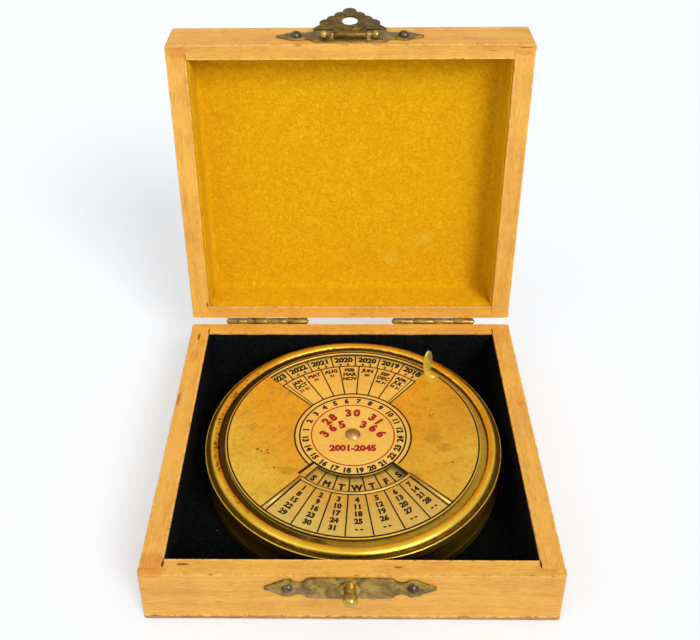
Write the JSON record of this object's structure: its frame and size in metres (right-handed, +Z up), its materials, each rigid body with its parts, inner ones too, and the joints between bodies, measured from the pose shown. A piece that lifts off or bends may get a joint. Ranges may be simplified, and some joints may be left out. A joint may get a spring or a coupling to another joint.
{
  "type": "perpetual desk calendar in a hinged case",
  "caption": "Round turned-brass perpetual calendar with a turning window disc, lying in a felt-lined wooden case with hinged lid, hasp and catch.",
  "frame": {"origin": "centre of the case's underside, on the surface that it stands on", "axes": "+X to the right along the hinges, +Y to the back where the lid is hinged, +Z up"},
  "size_m": [0.1, 0.1163, 0.1144],
  "materials": {
    "pine": "satin varnish",
    "stained_pine": "satin varnish",
    "gold_felt": "napped",
    "black_felt": "napped",
    "dark_steel": "blued",
    "antique_brass": "antiqued",
    "worn_brass": "worn",
    "turned_brass": "polished and lacquered",
    "dial_brass": "brushed and tarnished"
  },
  "bodies": {
    "case": {"tray_panel": "stained_pine", "tray_front_board": "pine", "tray_back_board": "pine", "tray_left_board": "pine", "tray_right_board": "pine", "tray_floor_felt": "black_felt", "tray_wall_felt": "black_felt", "hinge_tray_leaf_left": "antique_brass", "hinge_tray_leaf_right": "antique_brass", "hinge_pin_left": "antique_brass", "hinge_pin_right": "antique_brass", "hinge_tray_nails": "dark_steel", "catch_plate": "antique_brass", "catch_post": "worn_brass", "catch_nails": "dark_steel", "calendar_base": "turned_brass", "base_pad": "black_felt", "dial_plate": "dial_brass", "disc_washer": "dial_brass", "centre_rivet": "dial_brass"},
    "lid": {"lid_panel": "pine", "lid_front_board": "pine", "lid_back_board": "pine", "lid_left_board": "pine", "lid_right_board": "pine", "lid_ceiling_felt": "gold_felt", "lid_wall_felt": "gold_felt", "hinge_lid_leaf_left": "antique_brass", "hinge_lid_leaf_right": "antique_brass", "hinge_lid_nails": "dark_steel", "hasp_plate": "antique_brass", "hasp_pin": "worn_brass", "hasp_screws": "dark_steel"},
    "hasp": {"hasp_flap": "antique_brass"},
    "disc": {"rotating_disc": "dial_brass", "turning_tab": "dial_brass", "tab_rivet": "dial_brass"}
  },
  "joints": [
    {"name": "lid_hinge", "type": "hinge", "parent": "case", "child": "lid", "pos_m": [0, 0.0476, 0.01632], "axis": [1, 0, 0], "range_deg": [0, 89.5]},
    {"name": "hasp_hinge", "type": "hinge", "parent": "lid", "child": "hasp", "pos_m": [0, 0.04999, 0.11195], "axis": [1, 0, 0], "range_deg": [0, 173]},
    {"name": "disc_spin", "type": "hinge", "parent": "case", "child": "disc", "pos_m": [0.0006, 0.00045, 0.01378], "axis": [0, 0, 1], "continuous": true}
  ]
}
